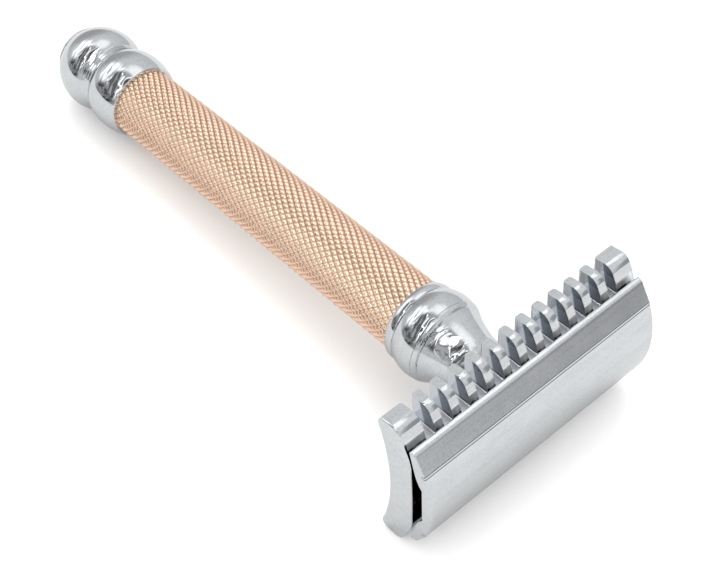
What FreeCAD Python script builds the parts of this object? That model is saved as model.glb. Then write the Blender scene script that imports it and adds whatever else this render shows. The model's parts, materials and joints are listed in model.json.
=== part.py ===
import FreeCAD, Part

# Three-piece open-comb safety razor for double-edge blades, lying at rest.
#
# The pieces are drawn in a design frame: X along the head, Y across it from comb
# to comb, Z along the handle towards the cap, with Z = 0 at the cap's long edges.
# One resting placement then lays the razor on its knob and its lower comb, with
# +Z up, the handle running along +Y and the origin below the middle of the razor.
# All sizes are in millimetres. Outlines are pairs of (across, along) or, for turned
# pieces, (radius, along).

import math
import os

# How close a middle point must lie to count as being on a face.
NEAR = 0.01

# Cap: as long as a double-edge blade, with a crowned top, flat bevels, round lips
# and a hollow underside. Half of it is given, on the +Y side.
CAP_LENGTH = 43.0
END_ROUND = 0.20
END_ROUND_REACH = 0.8
CAP_CROWN_Z = 3.75
CAP_CROWN_RADIUS = 17.8
CAP_BEVEL_Y = 6.85
CAP_BEVEL_END = (9.28, 0.95)
CAP_LIP_MIDDLE = (9.74, 0.52)
CAP_LIP = (9.88, 0.0)
CAP_LIP_ROUND = (9.82, -0.19)
CAP_UNDER_EDGE = (9.62, -0.26)
CAP_UNDER_MIDDLE = (7.7, 0.20)
CAP_UNDER_STEP = (5.8, 0.68)
CAP_HOLLOW_SHOULDER = (4.6, 1.12)
CAP_HOLLOW_EDGE = (3.40, 1.93)
CAP_LINES_Y = (6.40, 6.77)
CAP_LINE_WIDTH = 0.14
CAP_LINE_DEPTH = 0.13

# Comb plate: a crowned blade bed, two rows of teeth and a hollow back.
PLATE_LENGTH = 43.4
PLATE_END_ROUND = 0.28
BED_CENTRE_Z = 0.20
BED_SHOULDER = (6.0, 0.06)
BED_SLOPE = (7.8, -0.31)
BED_EDGE = (9.0, -0.82)
SCOOP_MIDDLE = (9.55, -1.06)
SCOOP_END = (10.2, -1.21)
SLOPE_END = (11.3, -1.78)
NOSE_MIDDLE = (12.1, -2.45)
TIP = (12.40, -3.35)
HEEL = (12.14, -5.40)
HEEL_MIDDLE = (11.2, -5.79)
BACK_EDGE = (10.2, -5.53)
BACK_CENTRE_Z = -3.90
TEETH = 11
TOOTH_PITCH = 3.13
SLOT_ROOT_Y = 8.5
SLOT_ROOT_ROUND = 0.22
SLOT_HALF = 0.85
SLOT_FLARE_R = 0.62
SLOT_FLARE_Z = -4.95
SLOT_BACK_Z = -6.5
SLOT_FRONT_Z = 0.8
SLOT_TOP_Y = 13.5
BOSS_FLARE = (8.6, -4.0)
BOSS_MIDDLE = (7.2, -4.22)
BOSS_EDGE = (6.6, -4.8)
SEAT_R = 6.2
SEAT_Z = -5.20
STUD_HOLE_R = 2.60
BOSS_EMBED = 1.5
THROUGH_TOP_Z = 2.0

# Threaded stud and blade posts, both fixed in the cap.
THREAD_MAJOR_R = 2.45
THREAD_PITCH = 0.8
THREAD_DEPTH = 0.45
THREAD_TOP_Z = -5.0
STUD_END_Z = -13.0
STUD_FLANGE_R = 3.4
STUD_FLANGE_Z = 1.15
STUD_SPIGOT_R = 2.0
STUD_SPIGOT_Z = 2.85
POST_R = 1.55
POST_X = 9.75
POST_TOP_Z = 2.75
POST_END_Z = -3.0
POST_POINT = 0.4
THREAD_EMBED = 0.12
THREAD_FOOT = 0.88
THREAD_CREST = 0.16
RUNNING_GAP = 0.07
FACE_GAP = 0.02

# Handle stations from the head to the knob, as (radius, along) where paired.
NECK_FOOT_R = 5.9
NECK_FOOT_END = (5.8, -6.1)
NECK_WAIST = (
    (5.15, -7.3),
    (4.78, -8.5),
    (4.66, -9.7),
    (4.86, -11.2),
    (5.36, -12.8),
    (5.86, -14.1),
)
FRONT_LINE = (6.36, -15.12)
BEAD_SHOULDER = (6.62, -15.55)
MIDDLE_LINE = (6.80, -16.03)
BEAD_CREST = ((7.0, -17.5), (6.88, -18.9))
STEP_LINE = (6.40, -20.35)
STEP_RING = ((6.48, -21.1), (6.30, -21.8))
STEP_FACE_R = 6.20
NECK_BORE_END_Z = -14.6
GRIP_FRONT_Z = -21.9
GRIP_REAR_Z = -87.1
GRIP_R = 5.88
GRIP_BORE_R = 4.2
GRIP_CHAMFER = 0.25
REAR_FACE_R = 6.14
REAR_BEAD = ((6.28, -87.22), (6.72, -88.6), (7.0, -90.9), (6.78, -93.0), (6.12, -94.55))
REAR_DIP = (6.02, -94.68)
SEAM_R = 6.16
REAR_RING_Z = -94.80
SEAM_Z = -95.25
SEAM_CHAMFER = 0.1
KNOB_RING_Z = -95.70
KNOB_DIP = (6.02, -95.82)
KNOB_FOOT = (6.08, -95.95)
BALL_R = 7.05
BALL_Z = -98.9
KNOB_BALL = ((6.72, -97.1), (BALL_R, BALL_Z), (6.82, -100.9), (6.12, -102.7))
KNOB_LINE = (5.2, -104.0)
KNOB_SHOULDER = (4.42, -105.2)
KNOB_FACE = (3.0, -105.9)
SPIGOT_LENGTH = 7.0
CORE_R = 3.0
CORE_FRONT_Z = -18.2
CORE_REAR_Z = -101.0
CORE_POCKET_GAP = 0.3
LINE_DEPTH = 0.13
LINE_HALF_WIDTH = 0.091
CHAMFER = 0.3
BORE_CHAMFER = 0.45

AXIS = FreeCAD.Vector(0, 0, 1)
ORIGIN = FreeCAD.Vector(0, 0, 0)
ACROSS = FreeCAD.Vector(0, 1, 0)


def point(across, along, x=0.0):
    return FreeCAD.Vector(x, across, along)


def line(start, end):
    return Part.makeLine(point(*start), point(*end))


def arc(start, middle, end):
    return Part.Arc(point(*start), point(*middle), point(*end)).toShape()


def smooth(*places):
    curve = Part.BSplineCurve()
    curve.interpolate([point(*place) for place in places])
    return curve.toShape()


def sagitta(radius, half_chord):
    return radius - math.sqrt(radius * radius - half_chord * half_chord)


def both_sides(edges):
    return edges + [edge.mirror(ORIGIN, ACROSS) for edge in edges]


def closed_face(edges):
    return Part.Face(Part.Wire(Part.__sortEdges__(edges)))


def head_bar(edges, length):
    """A bar along X, centred on the handle's axis, from a closed outline."""
    face = closed_face(edges)
    face.translate(FreeCAD.Vector(-length / 2, 0, 0))
    return face.extrude(FreeCAD.Vector(length, 0, 0))


def turned(edges):
    """A turned piece from a closed outline of (radius, along) edges."""
    return closed_face(edges).revolve(ORIGIN, AXIS, 360)


def chain(*places):
    """Straight edges through (radius, along) corners."""
    return [line(a, b) for a, b in zip(places[:-1], places[1:])]


def rod(radius, low, high, x=0.0):
    return Part.makeCylinder(radius, high - low, FreeCAD.Vector(x, 0, low), AXIS)


def rounded_ends(bar, length, radius, is_outer):
    """Round the end edges of a head bar for which is_outer(middle point) holds."""
    end = length / 2 - NEAR
    edges = []
    for edge in bar.Edges:
        middle = edge.CenterOfMass
        if abs(middle.x) > end and is_outer(middle):
            edges.append(edge)
    return bar.makeFillet(radius, edges)


def crown_z(across):
    return CAP_CROWN_Z - sagitta(CAP_CROWN_RADIUS, across)


def cap_line(side, middle_y):
    """One of the fine lines between the crown and the bevel, as a cutter."""
    half = CAP_LINE_WIDTH / 2
    middle_z = crown_z(middle_y)
    corners = [
        point(side * (middle_y + half), middle_z + half),
        point(side * middle_y, middle_z - CAP_LINE_DEPTH),
        point(side * (middle_y - half), middle_z + half),
    ]
    cutter = Part.Face(Part.makePolygon(corners + corners[:1]))
    cutter.translate(FreeCAD.Vector(-CAP_LENGTH, 0, 0))
    return cutter.extrude(FreeCAD.Vector(2 * CAP_LENGTH, 0, 0))


def top_cap():
    crown_end = (CAP_BEVEL_Y, crown_z(CAP_BEVEL_Y))
    side = [
        line(crown_end, CAP_BEVEL_END),
        arc(CAP_BEVEL_END, CAP_LIP_MIDDLE, CAP_LIP),
        arc(CAP_LIP, CAP_LIP_ROUND, CAP_UNDER_EDGE),
        arc(CAP_UNDER_EDGE, CAP_UNDER_MIDDLE, CAP_UNDER_STEP),
        arc(CAP_UNDER_STEP, CAP_HOLLOW_SHOULDER, CAP_HOLLOW_EDGE),
    ]
    crown = arc((-crown_end[0], crown_end[1]), (0, CAP_CROWN_Z), crown_end)
    hollow = line((-CAP_HOLLOW_EDGE[0], CAP_HOLLOW_EDGE[1]), CAP_HOLLOW_EDGE)
    cap = head_bar([crown, hollow] + both_sides(side), CAP_LENGTH)
    cap = rounded_ends(
        cap,
        CAP_LENGTH,
        END_ROUND,
        lambda p: p.z > crown_z(p.y) - END_ROUND_REACH,
    )
    for line_y in CAP_LINES_Y:
        for side_sign in (1, -1):
            cap = cap.cut(cap_line(side_sign, line_y))
    cap = cap.cut(rod(STUD_SPIGOT_R, 0, STUD_SPIGOT_Z))
    for x in (-POST_X, POST_X):
        cap = cap.cut(rod(POST_R, 0, POST_TOP_Z, x))
    return cap


def thread_ridge(top, bottom):
    """The helical ridge of the stud, rooted just inside the core."""
    root_r = THREAD_MAJOR_R - THREAD_DEPTH
    half_foot = THREAD_PITCH * THREAD_FOOT / 2
    half_crest = THREAD_PITCH * THREAD_CREST / 2
    path = Part.makeHelix(THREAD_PITCH, top - bottom, root_r)
    corners = [
        FreeCAD.Vector(root_r - THREAD_EMBED, 0, -half_foot),
        FreeCAD.Vector(THREAD_MAJOR_R, 0, -half_crest),
        FreeCAD.Vector(THREAD_MAJOR_R, 0, half_crest),
        FreeCAD.Vector(root_r - THREAD_EMBED, 0, half_foot),
    ]
    profile = Part.makePolygon(corners + corners[:1])
    ridge = Part.Wire(path.Edges).makePipeShell([profile], True, True)
    ridge.translate(FreeCAD.Vector(0, 0, bottom))
    return ridge


def cap_stud():
    """Flanged stud: a spigot in the cap, a plain shank and a threaded end."""
    root_r = THREAD_MAJOR_R - THREAD_DEPTH
    hollow_z = CAP_HOLLOW_EDGE[1]
    outline = chain(
        (0, STUD_SPIGOT_Z),
        (STUD_SPIGOT_R, STUD_SPIGOT_Z),
        (STUD_SPIGOT_R, hollow_z),
        (STUD_FLANGE_R, hollow_z),
        (STUD_FLANGE_R, STUD_FLANGE_Z),
        (THREAD_MAJOR_R, STUD_FLANGE_Z),
        (THREAD_MAJOR_R, THREAD_TOP_Z),
        (root_r, THREAD_TOP_Z - THREAD_DEPTH),
        (root_r, STUD_END_Z + THREAD_DEPTH),
        (root_r - THREAD_DEPTH, STUD_END_Z),
        (0, STUD_END_Z),
        (0, STUD_SPIGOT_Z),
    )
    stud = turned(outline)
    ridge = thread_ridge(THREAD_TOP_Z - THREAD_DEPTH, STUD_END_Z + THREAD_PITCH)
    return stud.fuse(ridge)


def cap_posts():
    """Two plain posts that place the blade, with tapered ends."""
    posts = []
    for x in (-POST_X, POST_X):
        post = rod(POST_R, POST_END_Z + POST_POINT, POST_TOP_Z, x)
        taper = Part.makeCone(
            POST_R - POST_POINT,
            POST_R,
            POST_POINT,
            FreeCAD.Vector(x, 0, POST_END_Z),
            AXIS,
        )
        posts.append(post.fuse(taper).removeSplitter())
    return Part.makeCompound(posts)


def comb_slot(x, side):
    """The space between two teeth, flared at the back, with a flat round-cornered root."""
    flare_x = SLOT_HALF + SLOT_FLARE_R
    flare_z = SLOT_FLARE_Z - SLOT_FLARE_R
    bend = SLOT_FLARE_R * (1 - math.sqrt(0.5))
    half = [
        line((SLOT_HALF, SLOT_FRONT_Z), (SLOT_HALF, SLOT_FLARE_Z)),
        arc(
            (SLOT_HALF, SLOT_FLARE_Z),
            (SLOT_HALF + bend, flare_z + bend),
            (flare_x, flare_z),
        ),
        line((flare_x, flare_z), (flare_x, SLOT_BACK_Z)),
    ]
    ends = [
        line((-SLOT_HALF, SLOT_FRONT_Z), (SLOT_HALF, SLOT_FRONT_Z)),
        line((-flare_x, SLOT_BACK_Z), (flare_x, SLOT_BACK_Z)),
    ]
    outline = closed_face(ends + both_sides(half))
    outline.rotate(ORIGIN, AXIS, -90)
    outline.translate(FreeCAD.Vector(x, side * SLOT_ROOT_Y, 0))
    cutter = outline.extrude(FreeCAD.Vector(0, side * (SLOT_TOP_Y - SLOT_ROOT_Y), 0))
    root_edges = []
    for edge in cutter.Edges:
        box = edge.BoundBox
        at_root = abs(edge.CenterOfMass.y) < SLOT_ROOT_Y + NEAR
        if at_root and box.ZLength > box.XLength and box.ZMax > SLOT_FLARE_Z:
            root_edges.append(edge)
    return cutter.makeFillet(SLOT_ROOT_ROUND, root_edges)


def comb_plate():
    side = [
        arc(BED_SHOULDER, BED_SLOPE, BED_EDGE),
        arc(BED_EDGE, SCOOP_MIDDLE, SCOOP_END),
        line(SCOOP_END, SLOPE_END),
        arc(SLOPE_END, NOSE_MIDDLE, TIP),
        line(TIP, HEEL),
        arc(HEEL, HEEL_MIDDLE, BACK_EDGE),
    ]
    bed = arc((-BED_SHOULDER[0], BED_SHOULDER[1]), (0, BED_CENTRE_Z), BED_SHOULDER)
    back = arc((-BACK_EDGE[0], BACK_EDGE[1]), (0, BACK_CENTRE_Z), BACK_EDGE)
    plate = head_bar([bed, back] + both_sides(side), PLATE_LENGTH)
    plate = rounded_ends(
        plate,
        PLATE_LENGTH,
        PLATE_END_ROUND,
        lambda p: abs(p.y) > BED_EDGE[0] and p.z > HEEL[1],
    )
    boss_top = BACK_CENTRE_Z + BOSS_EMBED
    boss_edges = chain(BOSS_EDGE, (SEAT_R, SEAT_Z), (0, SEAT_Z), (0, boss_top))
    boss_edges += chain((0, boss_top), (BOSS_FLARE[0], boss_top), BOSS_FLARE)
    boss_edges.append(arc(BOSS_FLARE, BOSS_MIDDLE, BOSS_EDGE))
    plate = plate.fuse(turned(boss_edges))
    slots = []
    for side_sign in (1, -1):
        for number in range(TEETH + 1):
            x = (number - TEETH / 2) * TOOTH_PITCH
            slots.append(comb_slot(x, side_sign))
    plate = plate.cut(Part.makeCompound(slots))
    plate = plate.cut(rod(STUD_HOLE_R, SLOT_BACK_Z, THROUGH_TOP_Z))
    for x in (-POST_X, POST_X):
        plate = plate.cut(rod(POST_R + RUNNING_GAP, SLOT_BACK_Z, THROUGH_TOP_Z, x))
    return plate


def ring_line(place):
    """Three corners of a fine turned line, as (radius, along)."""
    radius, along = place
    return [
        (radius, along + LINE_HALF_WIDTH),
        (radius - LINE_DEPTH, along),
        (radius, along - LINE_HALF_WIDTH),
    ]


def neck_collar():
    """Foot, waist, lined bead and step ring, with a spigot inside the grip."""
    foot_z = SEAT_Z - FACE_GAP
    bore_r = THREAD_MAJOR_R + RUNNING_GAP
    pocket_r = CORE_R + FACE_GAP
    pocket_z = CORE_FRONT_Z + CORE_POCKET_GAP
    spigot_r = GRIP_BORE_R - FACE_GAP
    spigot_end = GRIP_FRONT_Z - SPIGOT_LENGTH
    front_line = ring_line(FRONT_LINE)
    middle_line = ring_line(MIDDLE_LINE)
    step_line = ring_line(STEP_LINE)
    edges = [
        smooth(NECK_FOOT_END, *NECK_WAIST, front_line[0]),
        smooth(front_line[2], BEAD_SHOULDER, middle_line[0]),
        smooth(middle_line[2], *BEAD_CREST, step_line[0]),
        smooth(step_line[2], *STEP_RING),
    ]
    for corners in (front_line, middle_line, step_line):
        edges += chain(*corners)
    edges += chain(
        STEP_RING[-1],
        (STEP_FACE_R, GRIP_FRONT_Z),
        (spigot_r, GRIP_FRONT_Z),
        (spigot_r, spigot_end + CHAMFER),
        (spigot_r - CHAMFER, spigot_end),
        (pocket_r, spigot_end),
        (pocket_r, pocket_z),
        (0, pocket_z),
        (0, NECK_BORE_END_Z),
        (bore_r, NECK_BORE_END_Z),
        (bore_r, foot_z - BORE_CHAMFER),
        (bore_r + BORE_CHAMFER, foot_z),
        (NECK_FOOT_R - CHAMFER, foot_z),
        (NECK_FOOT_R, foot_z - CHAMFER),
        NECK_FOOT_END,
    )
    return turned(edges)


def grip_sleeve():
    """The grip tube, at the crest radius of its knurling."""
    edges = chain(
        (GRIP_BORE_R, GRIP_FRONT_Z - FACE_GAP),
        (GRIP_R - GRIP_CHAMFER, GRIP_FRONT_Z - FACE_GAP),
        (GRIP_R, GRIP_FRONT_Z - FACE_GAP - GRIP_CHAMFER),
        (GRIP_R, GRIP_REAR_Z + FACE_GAP + GRIP_CHAMFER),
        (GRIP_R - GRIP_CHAMFER, GRIP_REAR_Z + FACE_GAP),
        (GRIP_BORE_R, GRIP_REAR_Z + FACE_GAP),
        (GRIP_BORE_R, GRIP_FRONT_Z - FACE_GAP),
    )
    return turned(edges)


def core_rod():
    """The rod that ties the neck, grip, collar and knob together."""
    edges = chain(
        (0, CORE_FRONT_Z),
        (CORE_R - CHAMFER, CORE_FRONT_Z),
        (CORE_R, CORE_FRONT_Z - CHAMFER),
        (CORE_R, CORE_REAR_Z + CHAMFER),
        (CORE_R - CHAMFER, CORE_REAR_Z),
        (0, CORE_REAR_Z),
        (0, CORE_FRONT_Z),
    )
    return turned(edges)


def rear_collar():
    """The bead behind the grip, with a spigot inside it and a ring at the seam."""
    core_gap_r = CORE_R + FACE_GAP
    spigot_r = GRIP_BORE_R - FACE_GAP
    spigot_end = GRIP_REAR_Z + SPIGOT_LENGTH
    seam = SEAM_Z + FACE_GAP / 2
    edges = chain(
        REAR_BEAD[-1],
        REAR_DIP,
        (SEAM_R, REAR_RING_Z),
        (SEAM_R, seam + SEAM_CHAMFER),
        (SEAM_R - SEAM_CHAMFER, seam),
        (core_gap_r, seam),
        (core_gap_r, spigot_end),
        (spigot_r - CHAMFER, spigot_end),
        (spigot_r, spigot_end - CHAMFER),
        (spigot_r, GRIP_REAR_Z),
        (REAR_FACE_R, GRIP_REAR_Z),
        REAR_BEAD[0],
    )
    return turned(edges + [smooth(*REAR_BEAD)])


def end_knob():
    """The ball knob, with a ring at the seam, an end line and a small flat face."""
    core_gap_r = CORE_R + FACE_GAP
    seam = SEAM_Z - FACE_GAP / 2
    pocket_end = CORE_REAR_Z - CORE_POCKET_GAP
    end_line = ring_line(KNOB_LINE)
    edges = [
        smooth(KNOB_FOOT, *KNOB_BALL, end_line[0]),
        smooth(end_line[2], KNOB_SHOULDER, KNOB_FACE),
    ]
    edges += chain(*end_line)
    edges += chain(
        KNOB_FACE,
        (0, KNOB_FACE[1]),
        (0, pocket_end),
        (core_gap_r, pocket_end),
        (core_gap_r, seam),
        (SEAM_R - SEAM_CHAMFER, seam),
        (SEAM_R, seam - SEAM_CHAMFER),
        (SEAM_R, KNOB_RING_Z),
        KNOB_DIP,
        KNOB_FOOT,
    )
    return turned(edges)


def resting_angle():
    """How far the handle leans from upright when knob and comb touch the floor."""
    return math.atan2(TIP[0] - BALL_R, TIP[1] - BALL_Z)


PIECES = {
    "top_cap": top_cap,
    "cap_stud": cap_stud,
    "cap_posts": cap_posts,
    "comb_plate": comb_plate,
    "neck_collar": neck_collar,
    "grip_sleeve": grip_sleeve,
    "core_rod": core_rod,
    "rear_collar": rear_collar,
    "end_knob": end_knob,
}


def resting_placement(shapes):
    """Lay the razor down, then centre it over the origin and set it on Z = 0."""
    turn = FreeCAD.Rotation(FreeCAD.Vector(1, 0, 0), 90 - math.degrees(resting_angle()))
    whole = Part.makeCompound(shapes)
    whole.Placement = FreeCAD.Placement(ORIGIN, turn)
    box = whole.optimalBoundingBox(False, False)
    shift = FreeCAD.Vector(-box.Center.x, -box.Center.y, -box.ZMin)
    return FreeCAD.Placement(shift, turn)


def main():
    os.makedirs("parts", exist_ok=True)
    shapes = {name: build() for name, build in PIECES.items()}
    rest = resting_placement(list(shapes.values()))
    for name, shape in shapes.items():
        shape.Placement = rest.multiply(shape.Placement)
        shape.exportStep("parts/" + name + ".step")
    print("resting placement", rest)


main()
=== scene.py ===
"""Looks of the safety razor: its materials, its knurled grip, the camera and the studio."""

import json
import math

import bmesh
import bpy
import numpy as np
from mathutils import Matrix, Vector


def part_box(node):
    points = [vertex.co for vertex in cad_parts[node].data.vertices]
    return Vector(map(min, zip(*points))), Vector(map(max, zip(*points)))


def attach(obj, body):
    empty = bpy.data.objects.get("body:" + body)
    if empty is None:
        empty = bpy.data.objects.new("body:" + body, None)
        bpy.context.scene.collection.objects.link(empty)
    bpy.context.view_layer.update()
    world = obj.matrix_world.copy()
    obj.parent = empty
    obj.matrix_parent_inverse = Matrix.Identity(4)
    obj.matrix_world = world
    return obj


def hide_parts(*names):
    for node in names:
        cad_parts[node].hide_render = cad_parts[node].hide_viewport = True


MM = 0.001

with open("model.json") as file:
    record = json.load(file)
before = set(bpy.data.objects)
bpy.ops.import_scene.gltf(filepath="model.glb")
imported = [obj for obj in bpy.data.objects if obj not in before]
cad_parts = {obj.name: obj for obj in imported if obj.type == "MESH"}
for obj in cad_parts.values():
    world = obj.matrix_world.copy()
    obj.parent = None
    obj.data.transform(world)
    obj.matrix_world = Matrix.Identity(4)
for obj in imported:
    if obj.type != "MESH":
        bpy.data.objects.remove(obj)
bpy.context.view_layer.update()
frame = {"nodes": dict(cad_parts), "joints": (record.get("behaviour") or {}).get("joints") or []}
nodes = frame["nodes"]
joints = {joint["name"]: joint for joint in frame["joints"]}

# The handle's axis runs from the head to the knob. Along it, zero is the seat
# between the comb plate and the neck, and "up" is towards the cap.
seat = Vector(joints["handle_twist"]["pos_m"])
up_axis = -Vector(joints["handle_twist"]["axis"]).normalized()
head_axis = Vector((1, 0, 0))
across_axis = up_axis.cross(head_axis).normalized()
to_row = Matrix((head_axis, across_axis, up_axis)).transposed().to_4x4()
to_row.translation = seat
to_axis = to_row.inverted()


# ---------------------------------------------------------------- node helpers


class Tree:
    """A short way to write a node tree."""

    def __init__(self, tree):
        self.tree = tree
        tree.nodes.clear()

    def put(self, socket, value):
        """Links a socket to another, or sets its value. None leaves it as it is."""
        if isinstance(value, bpy.types.NodeSocket):
            self.tree.links.new(value, socket)
        elif value is not None:
            socket.default_value = value

    def node(self, kind, inputs=None, **settings):
        node = self.tree.nodes.new(kind)
        for name, value in settings.items():
            setattr(node, name, value)
        for name, value in (inputs or {}).items():
            self.put(node.inputs[name], value)
        return node

    def math(self, operation, a, b=None):
        node = self.node("ShaderNodeMath", operation=operation)
        self.put(node.inputs[0], a)
        self.put(node.inputs[1], b)
        return node.outputs[0]

    def add(self, a, b):
        return self.math("ADD", a, b)

    def times(self, a, b):
        return self.math("MULTIPLY", a, b)

    def off(self, value, middle):
        """How far a value is from a middle, on either side."""
        return self.math("ABSOLUTE", self.math("SUBTRACT", value, middle))

    def vector(self, operation, a, b=None):
        node = self.node("ShaderNodeVectorMath", operation=operation)
        self.put(node.inputs[0], a)
        self.put(node.inputs[1], b)
        return node.outputs["Vector"]

    def scaled(self, vector, scale):
        node = self.node("ShaderNodeVectorMath", {0: vector, "Scale": scale}, operation="SCALE")
        return node.outputs["Vector"]

    def dot(self, a, b):
        node = self.node("ShaderNodeVectorMath", operation="DOT_PRODUCT")
        self.put(node.inputs[0], a)
        self.put(node.inputs[1], tuple(b) if isinstance(b, Vector) else b)
        return node.outputs["Value"]

    def ramp(self, value, low, high, out_low=0.0, out_high=1.0):
        """Eases from out_low to out_high while the value goes from low to high."""
        node = self.node(
            "ShaderNodeMapRange",
            {"Value": value, "From Min": low, "From Max": high, "To Min": out_low, "To Max": out_high},
            interpolation_type="SMOOTHSTEP",
        )
        return node.outputs["Result"]

    def mix(self, factor, a, b):
        node = self.node("ShaderNodeMix", data_type="FLOAT")
        self.put(node.inputs[0], factor)
        self.put(node.inputs[2], a)
        self.put(node.inputs[3], b)
        return node.outputs[0]

    def mix_color(self, factor, a, b):
        node = self.node("ShaderNodeMix", data_type="RGBA")
        self.put(node.inputs[0], factor)
        self.put(node.inputs[6], a)
        self.put(node.inputs[7], b)
        return node.outputs[2]

    def noise(self, vector, scale, detail=3.0, roughness=0.5, distortion=0.0):
        """Noise with about scale features for each unit of the vector."""
        node = self.node("ShaderNodeTexNoise", {"Vector": vector, "Scale": scale, "Detail": detail})
        self.put(node.inputs["Roughness"], roughness)
        self.put(node.inputs["Distortion"], distortion)
        return node.outputs["Fac"]

    def combine(self, x, y, z):
        return self.node("ShaderNodeCombineXYZ", {"X": x, "Y": y, "Z": z}).outputs[0]

    def bump(self, height, distance):
        bump = self.node("ShaderNodeBump", {"Strength": 1.0, "Distance": distance, "Height": height})
        return bump.outputs[0]


class Point:
    """A shaded point in the axis frame: x along the head, y across, z up the axis.
    Aside is how far it lies from the axis across the head, to either side."""

    def __init__(self, tree):
        coordinates = tree.node("ShaderNodeTexCoord").outputs
        position = tree.vector("SUBTRACT", coordinates["Object"], tuple(seat))
        self.x = tree.dot(position, head_axis)
        self.y = tree.dot(position, across_axis)
        self.z = tree.dot(position, up_axis)
        self.place = tree.combine(self.x, self.y, self.z)
        self.aside = tree.math("ABSOLUTE", self.y)
        self.normal = coordinates["Normal"]

    def along_turning(self, tree, stretch):
        """A place for marks that run round the axis. A small stretch makes them long."""
        angle = tree.math("ARCTAN2", self.y, self.x)
        return tree.combine(tree.times(angle, stretch), 0.0, self.z)

    def along_head(self, tree, stretch):
        """A place for marks that run along the head."""
        return tree.combine(tree.times(self.x, stretch), self.y, self.z)


def new_material(name):
    material = bpy.data.materials.new(name)
    material.use_nodes = True
    tree = Tree(material.node_tree)
    shader = tree.node("ShaderNodeBsdfPrincipled")
    out = tree.node("ShaderNodeOutputMaterial")
    tree.put(out.inputs[0], shader.outputs[0])
    return material, tree, shader.inputs


def opaque(color, shade=1.0):
    """A colour, made darker by a shade below 1, with full alpha."""
    return (*(channel * shade for channel in color), 1)


# ------------------------------------------------------------------- materials

CHROME_DULL = (0.690, 0.708, 0.722)
CHROME_BRIGHT = (0.725, 0.738, 0.748)
CHROME_GRAIN = (0.42, 0.44, 0.46)
# Painted reflections on the sides of the comb's teeth: dark near the cap, lighter behind.
FLANK_DARK_PAINTED_REFLECTION = (0.19, 0.205, 0.23)
FLANK_LIGHT_PAINTED_REFLECTION = (0.60, 0.63, 0.67)
# A painted highlight on the bottoms of the comb's slots and the scoops in front of them.
ROOT_PAINTED_HIGHLIGHT = (0.98, 0.99, 1.0)
# Painted shade for the hollow between cap and plate.
HOLLOW_PAINTED_SHADE = (0.34, 0.35, 0.36)
# Painted shade inside the cap's fine grooves.
LINE_PAINTED_SHADE = (0.07, 0.075, 0.08)
GOLD_DEEP = (1.0, 0.78, 0.60)
GOLD_PALE = (1.0, 0.84, 0.66)
# Painted sheen on the grip where it turns away from the eye.
GOLD_EDGE_PAINTED_SHEEN = (1.0, 0.69, 0.52)
# Painted highlight on the grip's crests.
GOLD_CREST_PAINTED_HIGHLIGHT = (1.0, 0.93, 0.76)
# Painted shade in the grip's pits.
PIT_PAINTED_SHADE = (0.52, 0.27, 0.14)
STEEL_DULL = (0.92, 0.93, 0.95)
STEEL_BRIGHT = (1.0, 1.0, 1.0)
STUD_SHADE = 0.66
CORE_SHADE = 0.55
# The turned pieces get a darker chrome tint than the head's: painted shade.
TURNED_PAINTED_SHADE = 0.93

# How high the fine relief of each finish stands.
CHROME_BUMP = 0.0022 * MM
GRIP_BUMP = 0.006 * MM
STEEL_BUMP = 0.004 * MM

# The comb's end faces are left out of its touches up to this far in.
END_INSET = 0.5 * MM
# On the comb, how far from the axis its slot roots and its scoops lie.
ROOT_REACH = 8.9 * MM
SCOOP_START = (8.9 * MM, 9.3 * MM)
SCOOP_STOP = (10.5 * MM, 10.3 * MM)
# The border between the painted dark and light reflections on a tooth's flank lies at
# this height over the seat, and comes down by the slope for each step outwards.
FLANK_BORDER = (4.30 * MM, 4.60 * MM)
FLANK_SLOPE = 0.25

# How far from the axis the painted shade in the hollow under the cap ends, and where the cap's lines
# lie.
HOLLOW_EDGE = (5.8 * MM, 4.4 * MM)
CAP_LINES = (6.40 * MM, 6.77 * MM)
CAP_LINE_EDGE = (0.045 * MM, 0.075 * MM)
CAP_LINES_ABOVE = 7.0 * MM


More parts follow.
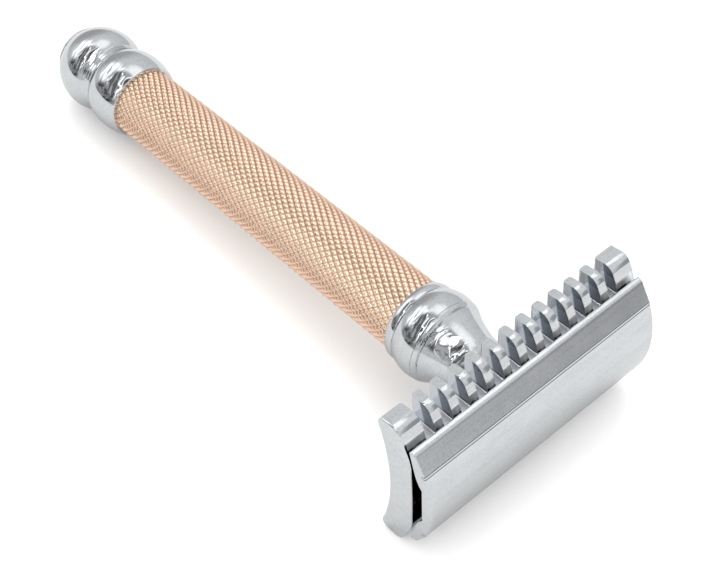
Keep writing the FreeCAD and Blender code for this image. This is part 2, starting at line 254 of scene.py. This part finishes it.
def chrome(name, turned=False, touches=()):
    """Bright chrome plate with fine polishing marks, a faint grain and a few
    scratches. The marks run round a turned piece, and along the head on the
    others. Each touch changes the tint and the haze of some of the surfaces."""
    material, tree, inputs = new_material(name)
    point = Point(tree)
    marks_at = point.along_turning(tree, 0.004) if turned else point.along_head(tree, 0.03)
    marks = tree.noise(marks_at, 9000.0, 2.0, 0.6)
    broad = tree.noise(marks_at, 1400.0, 2.0, 0.5)
    clouds = tree.noise(point.place, 260.0, 3.0, 0.55)
    peel = tree.noise(point.place, 900.0, 2.0, 0.5)

    scratch_at = tree.combine(tree.add(tree.times(point.x, 0.25), point.y), point.z, point.x)
    scratch = tree.node(
        "ShaderNodeTexVoronoi",
        {"Vector": scratch_at, "Scale": 330.0, "Randomness": 1.0},
        feature="DISTANCE_TO_EDGE",
    ).outputs["Distance"]
    scratch = tree.ramp(scratch, 0.0, 0.006, 1.0, 0.0)
    scratch = tree.times(scratch, tree.ramp(clouds, 0.50, 0.62))

    haze = tree.ramp(clouds, 0.35, 0.75, 0.035, 0.085)
    haze = tree.add(haze, tree.ramp(marks, 0.45, 0.8, 0.0, 0.05))
    haze = tree.add(haze, tree.times(scratch, 0.10))

    # Painted shade: a turned piece gets a darker tint than the head.
    shade = TURNED_PAINTED_SHADE if turned else 1.0
    dull, bright = opaque(CHROME_DULL, shade), opaque(CHROME_BRIGHT, shade)
    tint = tree.mix_color(tree.ramp(clouds, 0.3, 0.7), dull, bright)
    grain = tree.add(tree.noise(point.place, 3200.0, 2.0, 0.6), tree.times(broad, 0.6))
    tint = tree.mix_color(tree.ramp(grain, 0.70, 1.05, 0.0, 0.30), tint, opaque(CHROME_GRAIN))

    for touch in touches:
        tint, haze = touch(tree, point, tint, haze)

    height = tree.add(tree.times(marks, 0.12), tree.times(broad, 0.6))
    height = tree.add(height, tree.times(peel, 0.5))
    height = tree.math("SUBTRACT", height, tree.times(scratch, 0.2))
    tree.put(inputs["Base Color"], tint)
    tree.put(inputs["Roughness"], haze)
    tree.put(inputs["Normal"], tree.bump(height, CHROME_BUMP))
    inputs["Metallic"].default_value = 1.0
    return material


def inside_ends(tree, point):
    """One over the whole comb but its two end faces, where it is zero."""
    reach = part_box("comb_plate")[1][0] - END_INSET
    return tree.math("LESS_THAN", tree.math("ABSOLUTE", point.x), reach)


def flank_painted_reflection(tree, point, tint, haze):
    """The sides of the teeth get a painted reflection: dark near the cap and lighter behind."""
    facing = tree.math("ABSOLUTE", tree.dot(point.normal, head_axis))
    flank = tree.times(tree.ramp(facing, 0.80, 0.93), inside_ends(tree, point))
    level = tree.add(point.z, tree.times(point.aside, FLANK_SLOPE))
    near_cap = tree.ramp(level, *FLANK_BORDER)
    side = tree.mix_color(near_cap, opaque(FLANK_LIGHT_PAINTED_REFLECTION), opaque(FLANK_DARK_PAINTED_REFLECTION))
    return tree.mix_color(flank, tint, side), tree.add(haze, tree.times(flank, 0.10))


def root_satin_and_painted_highlight(tree, point, tint, haze):
    """The bottoms of the slots and the scoops in front of them get a satin haze and a near-white tint,
    which is a painted highlight.
    """
    outward = tree.times(tree.dot(point.normal, across_axis), tree.math("SIGN", point.y))
    root = tree.times(tree.ramp(outward, 0.55, 0.75), tree.math("LESS_THAN", point.aside, ROOT_REACH))
    upward = tree.dot(point.normal, up_axis)
    scoop = tree.times(tree.ramp(upward, 0.62, 0.78), inside_ends(tree, point))
    scoop = tree.times(scoop, tree.ramp(point.aside, *SCOOP_START))
    scoop = tree.times(scoop, tree.ramp(point.aside, *SCOOP_STOP))
    satin_and_painted_light = tree.math("MAXIMUM", root, scoop)
    return tree.mix_color(satin_and_painted_light, tint, opaque(ROOT_PAINTED_HIGHLIGHT)), tree.mix(satin_and_painted_light, haze, 0.42)


def hollow_painted_shade(towards):
    """Painted shade in the hollow between cap and plate: a darker tint on the surfaces
    that face up the axis (towards is 1) or down it (-1)."""

    def touch(tree, point, tint, haze):
        facing = tree.dot(point.normal, up_axis * towards)
        shade_mask = tree.times(tree.ramp(facing, 0.70, 0.85), tree.ramp(point.aside, *HOLLOW_EDGE))
        return tree.mix_color(shade_mask, tint, opaque(HOLLOW_PAINTED_SHADE)), haze

    return touch


def line_painted_shade(tree, point, tint, haze):
    """The fine lines along the cap get a near-black tint inside: painted shade in the grooves."""
    above = tree.math("GREATER_THAN", point.z, CAP_LINES_ABOVE)
    for line_y in CAP_LINES:
        line = tree.ramp(tree.off(point.aside, line_y), *CAP_LINE_EDGE, 1.0, 0.0)
        tint = tree.mix_color(tree.times(line, above), tint, opaque(LINE_PAINTED_SHADE))
    return tint, haze


def rose_gold(name):
    """Rose-gold plate on the knurling: painted highlights on the crests, painted shade in
    the pits, and a more orange tint, a painted sheen, where the surface turns away from the eye."""
    material, tree, inputs = new_material(name)
    point = Point(tree)
    depth = tree.node("ShaderNodeAttribute", attribute_name="knurl_depth").outputs["Fac"]
    patches = tree.noise(point.place, 420.0, 3.0, 0.6)
    grain = tree.noise(point.place, 5200.0, 3.0, 0.6)
    pit = tree.ramp(tree.add(depth, tree.times(patches, 0.25)), 0.50, 0.90)
    crest = tree.ramp(tree.add(depth, tree.times(grain, 0.2)), 0.30, 0.05)

    radial = tree.scaled(tuple(head_axis), point.x)
    radial = tree.vector("ADD", radial, tree.scaled(tuple(across_axis), point.y))
    incoming = tree.node("ShaderNodeNewGeometry").outputs["Incoming"]
    facing = tree.dot(tree.vector("NORMALIZE", radial), incoming)

    color = tree.mix_color(tree.ramp(patches, 0.35, 0.65), opaque(GOLD_DEEP), opaque(GOLD_PALE))
    # Painted sheen: more orange where the surface turns away from the eye.
    color = tree.mix_color(tree.ramp(facing, 0.85, 0.35), color, opaque(GOLD_EDGE_PAINTED_SHEEN))
    # Painted highlight: the crests get a pale tint, strongest where they face the eye.
    crest = tree.times(crest, tree.ramp(facing, 0.3, 0.8, 0.35, 1.0))
    color = tree.mix_color(tree.times(crest, 0.7), color, opaque(GOLD_CREST_PAINTED_HIGHLIGHT))
    # Painted shade: the pits get a dark brown tint.
    color = tree.mix_color(tree.times(pit, 0.85), color, opaque(PIT_PAINTED_SHADE))
    tree.put(inputs["Base Color"], color)
    rough = tree.add(tree.ramp(grain, 0.3, 0.7, 0.12, 0.22), tree.times(pit, 0.25))
    tree.put(inputs["Roughness"], rough)
    tree.put(inputs["Normal"], tree.bump(grain, GRIP_BUMP))
    inputs["Metallic"].default_value = 1.0
    return material


def steel(name, shade):
    """Plain turned steel with lathe marks round the axis, as dark as the shade says."""
    material, tree, inputs = new_material(name)
    point = Point(tree)
    marks = tree.noise(point.along_turning(tree, 0.002), 7000.0, 3.0, 0.6)
    clouds = tree.noise(point.place, 500.0, 3.0, 0.6)
    color = tree.mix_color(clouds, opaque(STEEL_DULL, shade), opaque(STEEL_BRIGHT, shade))
    tree.put(inputs["Base Color"], color)
    tree.put(inputs["Roughness"], tree.ramp(marks, 0.3, 0.7, 0.18, 0.34))
    tree.put(inputs["Normal"], tree.bump(marks, STEEL_BUMP))
    inputs["Metallic"].default_value = 1.0
    return material


def dress(material, *names):
    for name in names:
        for slot in nodes[name].material_slots:
            slot.material = material


dress(chrome("head_chrome", touches=(hollow_painted_shade(-1), line_painted_shade)), "top_cap")
dress(chrome("comb_chrome", touches=(flank_painted_reflection, root_satin_and_painted_highlight, hollow_painted_shade(1))), "comb_plate")
dress(chrome("handle_chrome", turned=True), "neck_collar", "rear_collar", "end_knob")
dress(steel("stud_steel", STUD_SHADE), "cap_stud", "cap_posts")
dress(steel("core_steel", CORE_SHADE), "core_rod")


# ------------------------------------------------------------------ soft edges


def soften(node, width):
    """Small polished rounds on the sharp edges of a CAD node."""
    modifiers = nodes[node].modifiers
    weld = modifiers.new("weld", "WELD")
    weld.merge_threshold = 0.001 * MM
    flat = modifiers.new("flat", "DECIMATE")
    flat.decimate_type = "DISSOLVE"
    flat.angle_limit = math.radians(0.4)
    edges = modifiers.new("edges", "BEVEL")
    edges.width = width
    edges.segments = 2
    edges.limit_method = "ANGLE"
    edges.angle_limit = math.radians(32)
    edges.harden_normals = True


soften("comb_plate", 0.11 * MM)


# ------------------------------------------------------------------- the grip

# Two families of grooves, u and v, wind round the grip in opposite ways. Starts
# are the grooves in one turn, and rates those crossed in a metre along it.
STARTS_U, STARTS_V = 34, 29
RATE_U, RATE_V = 586.0, 775.0
DEPTH_U, DEPTH_V = 0.30 * MM, 0.24 * MM
GROOVE_POWER = 1.5
BLEND_POWER = 3
# The rows of vertices between one groove's bottom, at 0, and the next, at 1.
STEPS = np.array([0.0, 0.10, 0.22, 0.36, 0.5, 0.64, 0.78, 0.90])
END_CHAMFER = 0.22 * MM
# The groove depth that the material takes as 1.
FULL_DEPTH = DEPTH_U + 0.3 * DEPTH_V
# The tube is made longer by this at each end, and then cut square.
MARGIN = 1.0 * MM
CUT_TOLERANCE = 1e-6 * MM
SHARP_ANGLE = math.radians(60)


def grip_sizes():
    """Outer and bore radius of the CAD sleeve, and where it starts and ends."""
    mesh = nodes["grip_sleeve"].data
    flat = np.empty(len(mesh.vertices) * 3)
    mesh.vertices.foreach_get("co", flat)
    turn = np.array(to_axis.to_3x3())
    points = flat.reshape(-1, 3) @ turn.T + np.array(to_axis.translation)
    radii = np.hypot(points[:, 0], points[:, 1])
    return radii.max(), radii.min(), points[:, 2].min(), points[:, 2].max()


def groove(turns):
    """One at a groove's bottom, falling to zero at the ridge between two."""
    nearest = np.abs(turns - np.round(turns)) * 2
    return (1 - nearest) ** GROOVE_POWER


def knurl_surface(outer, low, high):
    """Vertices and faces of the knurled outside, and each vertex's share of the full depth.

    The mesh follows the grooves: u counts the grooves of the first family and v
    those of the second, so the rows of vertices lie along every groove bottom.
    One turn round the tube takes u down by its starts and v up by its own.
    """
    count = len(STEPS)
    pace = STARTS_U * RATE_V + STARTS_V * RATE_U
    u_low = math.floor((pace * (low - MARGIN) - STARTS_U * STARTS_V) / STARTS_V) - 1
    u_high = math.ceil(pace * (high + MARGIN) / STARTS_V) + 1
    cells_u = np.arange(u_low * count, u_high * count)
    cells_v = np.arange(STARTS_V * count)

    def phase(index):
        return index // count + STEPS[index % count]

    u, v = np.meshgrid(phase(cells_u), phase(cells_v), indexing="ij")
    along = (STARTS_U * v + STARTS_V * u) / pace
    angle = 2 * math.pi * (RATE_U * v - RATE_V * u) / pace
    cut_u = DEPTH_U * groove(u)
    cut_v = DEPTH_V * groove(v)
    depth = (cut_u**BLEND_POWER + cut_v**BLEND_POWER) ** (1 / BLEND_POWER)
    edge = np.minimum(along - low, high - along)
    radius = np.minimum(outer - depth, outer - END_CHAMFER + np.clip(edge, 0, END_CHAMFER))

    # The last row of v joins the first, one turn further on in u.
    index = np.arange(u.size).reshape(u.shape)
    rows = len(cells_u)
    i, j = np.meshgrid(np.arange(rows - 1), cells_v, indexing="ij")
    wraps = j + 1 == len(cells_v)
    i_next = np.where(wraps, i + STARTS_U * count, i)
    j_next = np.where(wraps, 0, j + 1)
    inside = i_next + 1 < rows
    i, j, i_next, j_next = (a[inside] for a in (i, j, i_next, j_next))
    faces = np.stack(
        [index[i, j], index[i + 1, j], index[i_next + 1, j_next], index[i_next, j_next]], 1
    )
    flat_along = along.ravel()
    near = (flat_along > low - MARGIN) & (flat_along < high + MARGIN)
    faces = faces[near[faces].all(axis=1)]
    used, faces = np.unique(faces, return_inverse=True)
    place = np.stack([radius * np.cos(angle), radius * np.sin(angle), along], 2)
    share = (depth / FULL_DEPTH).ravel()
    return place.reshape(-1, 3)[used], faces.reshape(-1, 4), share[used]


def close_tube(mesh, bore, low, high):
    """Cuts the tube's ends square, and adds the end faces and the bore."""
    work = bmesh.new()
    work.from_mesh(mesh)
    for cut_at, side in ((low, -1), (high, 1)):
        bmesh.ops.bisect_plane(
            work,
            geom=work.verts[:] + work.edges[:] + work.faces[:],
            dist=CUT_TOLERANCE,
            plane_co=(0, 0, cut_at),
            plane_no=(0, 0, side),
            clear_outer=True,
        )
    # The end faces are made one by one, because bmesh's own extrusion makes them
    # in an order that changes from run to run.
    rims = [edge for edge in work.edges if edge.is_boundary]
    inner = {}
    for vert in (vert for edge in rims for vert in edge.verts):
        if vert not in inner:
            factor = bore / math.hypot(vert.co.x, vert.co.y)
            inner[vert] = work.verts.new((vert.co.x * factor, vert.co.y * factor, vert.co.z), vert)
    for edge in rims:
        start, end = edge.verts
        work.faces.new((start, end, inner[end], inner[start]))
    loops = [edge for edge in work.edges if edge.is_boundary]
    bmesh.ops.bridge_loops(work, edges=loops)
    bmesh.ops.recalc_face_normals(work, faces=work.faces[:])
    work.to_mesh(mesh)
    work.free()


def build_grip():
    outer, bore, low, high = grip_sizes()
    place, faces, depth = knurl_surface(outer, low, high)
    mesh = bpy.data.meshes.new("knurled_grip")
    mesh.from_pydata(place.tolist(), [], faces.tolist())
    layer = mesh.attributes.new("knurl_depth", "FLOAT", "POINT")
    layer.data.foreach_set("value", depth.astype(np.float32))
    close_tube(mesh, bore, low, high)
    mesh.transform(to_row)
    mesh.shade_smooth()
    mesh.set_sharp_from_angle(angle=SHARP_ANGLE)
    mesh.materials.append(rose_gold("grip_rose_gold"))
    grip = bpy.data.objects.new("knurled_grip", mesh)
    bpy.context.scene.collection.objects.link(grip)
    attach(grip, "handle")
    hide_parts("grip_sleeve")


build_grip()


# ---------------------------------------------------------------------- camera

VIEW_AZIMUTH = 228.19
VIEW_ELEVATION = 50.659
VIEW_ROLL = -0.157
VIEW_DISTANCE = 0.223605
VIEW_TARGET = Vector((-0.003581, -0.020069, 0.0123))
LENS_MM = 78.329
SENSOR_MM = 36.0


def direction(azimuth, elevation):
    """A unit vector from angles in degrees."""
    a, e = math.radians(azimuth), math.radians(elevation)
    return Vector((math.cos(e) * math.cos(a), math.cos(e) * math.sin(a), math.sin(e)))


to_camera = direction(VIEW_AZIMUTH, VIEW_ELEVATION)
look = to_camera.to_track_quat("Z", "Y").to_matrix()
look = look @ Matrix.Rotation(math.radians(VIEW_ROLL), 3, "Z")


def build_camera():
    data = bpy.data.cameras.new("camera")
    data.lens = LENS_MM
    data.sensor_width = SENSOR_MM
    data.clip_start = 0.01
    data.clip_end = 20.0
    camera = bpy.data.objects.new("camera", data)
    camera.matrix_world = Matrix.Translation(VIEW_TARGET + to_camera * VIEW_DISTANCE) @ look.to_4x4()
    bpy.context.scene.collection.objects.link(camera)
    bpy.context.scene.camera = camera


# ---------------------------------------------------------------------- studio

FLOOR_HALF = 3.0
PAPER = ((0.800, 0.800, 0.798), (0.815, 0.815, 0.812))
DIMMED = ((0.500, 0.505, 0.510), (0.520, 0.525, 0.530))
WHITE = (1.0, 1.0, 1.0)
SOFT_WHITE = (1.0, 0.995, 0.99)
SOFT_LIGHT = 1.72
TENT_TINT = (0.985, 0.995, 1.01)
# The folds mirrored in the turned chrome lean by this angle in the picture.
FOLD_SLANT = math.radians(56)


def build_floor():
    """A matt white floor, which is darker for the rays that chrome mirrors."""
    mesh = bpy.data.meshes.new("floor")
    corners = [(x * FLOOR_HALF, y * FLOOR_HALF, 0) for x, y in ((-1, -1), (1, -1), (1, 1), (-1, 1))]
    mesh.from_pydata(corners, [], [(0, 1, 2, 3)])
    floor = bpy.data.objects.new("floor", mesh)
    bpy.context.scene.collection.objects.link(floor)
    material, tree, inputs = new_material("floor_white")
    grain = tree.noise(tree.node("ShaderNodeTexCoord").outputs["Object"], 900.0, 2.0, 0.5)
    paper = tree.mix_color(grain, opaque(PAPER[0]), opaque(PAPER[1]))
    dimmed = tree.mix_color(grain, opaque(DIMMED[0]), opaque(DIMMED[1]))
    mirrored = tree.node("ShaderNodeLightPath").outputs["Is Glossy Ray"]
    tree.put(inputs["Base Color"], tree.mix_color(mirrored, paper, dimmed))
    inputs["Roughness"].default_value = 0.9
    inputs["Specular IOR Level"].default_value = 0.0
    mesh.materials.append(material)


def fold_streaks(tree, ray):
    """Gives a function that makes streaks along the folds, from how often they
    change along and across the folds, and a seed."""
    side = look @ Vector((1, 0, 0))
    top = look @ Vector((0, 1, 0))
    # More than 1 is added, so that the divisor stays above zero in every direction.
    toward = tree.add(tree.dot(ray, to_camera), 1.02)
    a = tree.math("DIVIDE", tree.dot(ray, side), toward)
    b = tree.math("DIVIDE", tree.dot(ray, top), toward)
    cos, sin = math.cos(FOLD_SLANT), math.sin(FOLD_SLANT)
    run = tree.add(tree.times(a, cos), tree.times(b, sin))
    rise = tree.add(tree.times(a, -sin), tree.times(b, cos))

    def streaks(along, across, seed):
        place = tree.combine(tree.times(run, along), tree.times(rise, across), seed)
        return tree.noise(place, 1.0, 2.0, 0.5, 0.5)

    return streaks


def mirrored_level(tree, ray):
    """Brightness of the light tent: an even level with brighter and darker patches."""
    streaks = fold_streaks(tree, ray)
    broad = streaks(1.0, 5.0, 3.7)
    fine = streaks(2.0, 15.0, 9.1)
    border = tree.off(broad, 0.5)
    hair = tree.off(fine, 0.5)
    folds = tree.ramp(broad, 0.44, 0.54, 0.17, 0.55)
    folds = tree.mix(tree.ramp(border, 0.020, 0.034, 1.0, 0.0), folds, 0.05)
    folds = tree.mix(tree.ramp(border, 0.010, 0.020, 1.0, 0.0), folds, 2.0)
    folds = tree.times(folds, tree.ramp(hair, 0.006, 0.022, 0.15, 1.0))
    folds = tree.times(folds, tree.ramp(fine, 0.55, 0.585, 1.0, 3.2))
    glow = tree.ramp(fine, 0.42, 0.54, 0.62, 2.2)
    blotch = tree.noise(tree.scaled(ray, 6.0), 1.0, 3.0, 0.6, 0.8)
    dark = tree.ramp(blotch, 0.42, 0.60, 0.06, 0.36)

    # Each patch: azimuth, elevation, the angles where it is full and where it
    # ends, all in degrees, and its brightness. A later one covers the earlier.
    patches = (
        (72, 10, 8, 34, 0.48),
        (315, 14, 8, 30, 0.37),
        (20, 70, 8, 26, 1.4),
        (126, 47, 20, 38, glow),
        (150, 10, 14, 30, dark),
        (182, 56, 34, 47, folds),
    )
    level = tree.ramp(tree.dot(ray, (0, 0, 1)), 0.0, 0.8, 0.70, 0.84)
    for azimuth, elevation, full, end, brightness in patches:
        facing = tree.dot(ray, direction(azimuth, elevation))
        patch = tree.ramp(facing, math.cos(math.radians(end)), math.cos(math.radians(full)))
        level = tree.mix(patch, level, brightness)
    return level


def build_world():
    """Plain white for the camera, soft light for matt surfaces, and a light
    tent with patches and folds for the rays that chrome mirrors."""
    world = bpy.data.worlds.new("studio")
    bpy.context.scene.world = world
    world.use_nodes = True
    tree = Tree(world.node_tree)
    ray = tree.vector("NORMALIZE", tree.node("ShaderNodeTexCoord").outputs["Generated"])
    color = tree.scaled(TENT_TINT, mirrored_level(tree, ray))

    def background(color, strength=1.0):
        return tree.node("ShaderNodeBackground", {"Color": color, "Strength": strength}).outputs[0]

    path = tree.node("ShaderNodeLightPath").outputs
    soft = background(opaque(SOFT_WHITE), SOFT_LIGHT)
    lit = tree.node("ShaderNodeMixShader", {0: path["Is Glossy Ray"], 1: soft, 2: background(color)})
    seen = tree.node(
        "ShaderNodeMixShader",
        {0: path["Is Camera Ray"], 1: lit.outputs[0], 2: background(opaque(WHITE))},
    )
    tree.put(tree.node("ShaderNodeOutputWorld").inputs[0], seen.outputs[0])


def build_key_light(azimuth, elevation, distance, size, power):
    """A large soft lamp that gives the shadows their side. Chrome doesn't mirror it."""
    data = bpy.data.lights.new("key", "AREA")
    data.shape = "DISK"
    data.size = size
    data.energy = power
    light = bpy.data.objects.new("key", data)
    toward = direction(azimuth, elevation)
    turn = toward.to_track_quat("Z", "Y").to_matrix().to_4x4()
    light.matrix_world = Matrix.Translation(toward * distance) @ turn
    light.visible_glossy = False
    light.visible_camera = False
    bpy.context.scene.collection.objects.link(light)


build_camera()
build_floor()
build_world()
build_key_light(azimuth=40, elevation=60, distance=0.9, size=0.7, power=3.0)

view = bpy.context.scene.view_settings
view.view_transform = "Standard"
view.look = "None"
view.exposure = 0.0
view.gamma = 1.0
